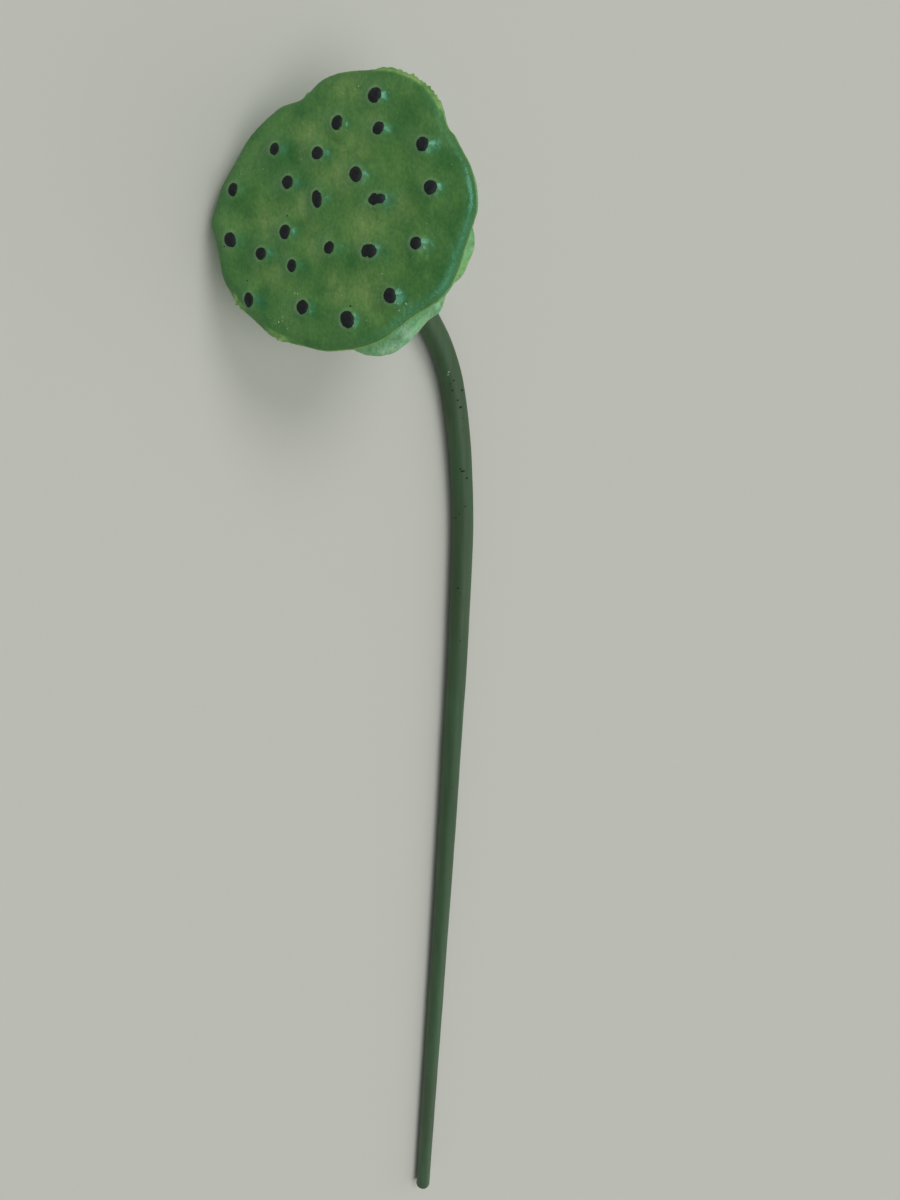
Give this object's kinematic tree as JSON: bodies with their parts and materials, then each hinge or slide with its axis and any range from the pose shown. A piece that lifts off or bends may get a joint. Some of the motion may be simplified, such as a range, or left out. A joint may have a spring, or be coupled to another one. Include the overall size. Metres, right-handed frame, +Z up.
{
  "type": "lotus seed pod",
  "caption": "Broad round seed head with raised dark-tipped seeds and a bowl-shaped back, on a long curved cut stem that lies along the surface.",
  "frame": {"origin": "middle of the flat spot under the low side of the seed head, on the surface that the pod lies on", "axes": "+Z up from the surface; the stem runs away from the head towards -Y; the face looks up and towards -X"},
  "size_m": [0.1138, 0.6443, 0.0709],
  "materials": {
    "pod_skin": "satin green with lighter streaks",
    "stem_skin": "satin dark grey-green"
  },
  "bodies": {
    "root": {"seed_head": "pod_skin", "stem": "stem_skin"}
  },
  "joints": []
}
